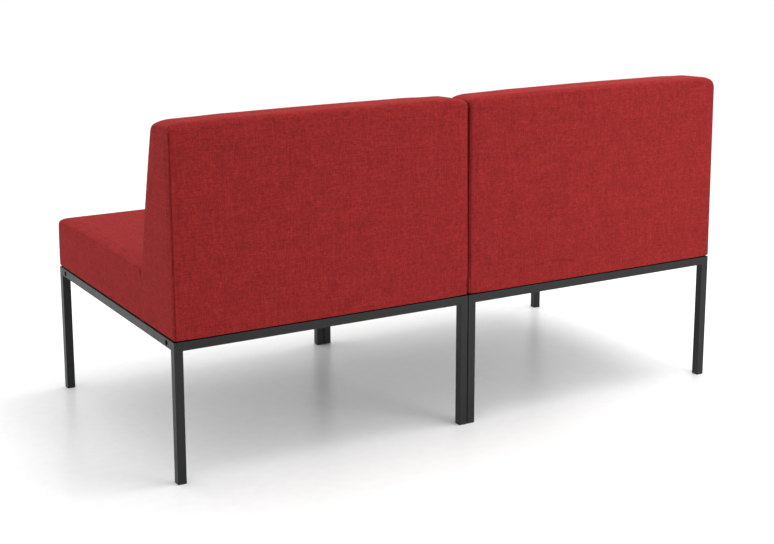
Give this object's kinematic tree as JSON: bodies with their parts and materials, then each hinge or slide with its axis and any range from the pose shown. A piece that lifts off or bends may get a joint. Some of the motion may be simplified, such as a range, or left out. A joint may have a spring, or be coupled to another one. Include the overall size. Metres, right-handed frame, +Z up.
{
  "type": "modular office sofa",
  "caption": "Armless modular office sofa: red cloth seats with wedge-shaped fixed backs on black square-tube steel frames, bolted side by side through their side rails.",
  "frame": {"origin": "on the floor under the middle of the sofa", "axes": "+X to the sitter's left along the sofa, +Y from the seat towards the back, +Z up"},
  "size_m": [1.4668, 0.7429, 0.7792],
  "materials": {
    "frame_steel": "satin black powder coat on welded square tube",
    "zinc_steel": "zinc-plated steel fasteners",
    "glide_plastic": "black moulded plastic",
    "plywood": "bare birch plywood",
    "hardboard": "bare hardboard",
    "foam": "open-cell upholstery foam",
    "red_cloth": "mottled red woven upholstery cloth",
    "dust_cloth": "black non-woven dust cloth"
  },
  "bodies": {
    "root": {"left_back_base_board": "plywood", "left_back_bolts": "zinc_steel", "left_back_cover": "red_cloth", "left_back_end_cheek": "plywood", "left_back_foam": "foam", "left_back_front_panel": "plywood", "left_back_middle_cheek": "plywood", "left_back_rear_panel": "hardboard", "left_back_screws": "zinc_steel", "left_back_tnuts": "zinc_steel", "left_back_top_rail": "plywood", "left_corner_plates": "frame_steel", "left_dust_cloths": "dust_cloth", "left_end_side_rail": "frame_steel", "left_front_end_leg": "frame_steel", "left_front_middle_leg": "frame_steel", "left_front_rail": "frame_steel", "left_leg_glides": "glide_plastic", "left_middle_side_rail": "frame_steel", "left_rear_end_leg": "frame_steel", "left_rear_middle_leg": "frame_steel", "left_rear_rail": "frame_steel", "left_seat_board": "plywood", "left_seat_bolts": "zinc_steel", "left_seat_cover": "red_cloth", "left_seat_foam": "foam", "left_seat_tnuts": "zinc_steel", "left_side_plates": "frame_steel", "link_bolts": "zinc_steel", "link_nuts": "zinc_steel", "link_washers": "zinc_steel", "right_back_base_board": "plywood", "right_back_bolts": "zinc_steel", "right_back_cover": "red_cloth", "right_back_end_cheek": "plywood", "right_back_foam": "foam", "right_back_front_panel": "plywood", "right_back_middle_cheek": "plywood", "right_back_rear_panel": "hardboard", "right_back_screws": "zinc_steel", "right_back_tnuts": "zinc_steel", "right_back_top_rail": "plywood", "right_corner_plates": "frame_steel", "right_dust_cloths": "dust_cloth", "right_end_side_rail": "frame_steel", "right_front_end_leg": "frame_steel", "right_front_middle_leg": "frame_steel", "right_front_rail": "frame_steel", "right_leg_glides": "glide_plastic", "right_middle_side_rail": "frame_steel", "right_rear_end_leg": "frame_steel", "right_rear_middle_leg": "frame_steel", "right_rear_rail": "frame_steel", "right_seat_board": "plywood", "right_seat_bolts": "zinc_steel", "right_seat_cover": "red_cloth", "right_seat_foam": "foam", "right_seat_tnuts": "zinc_steel", "right_side_plates": "frame_steel"}
  },
  "joints": []
}
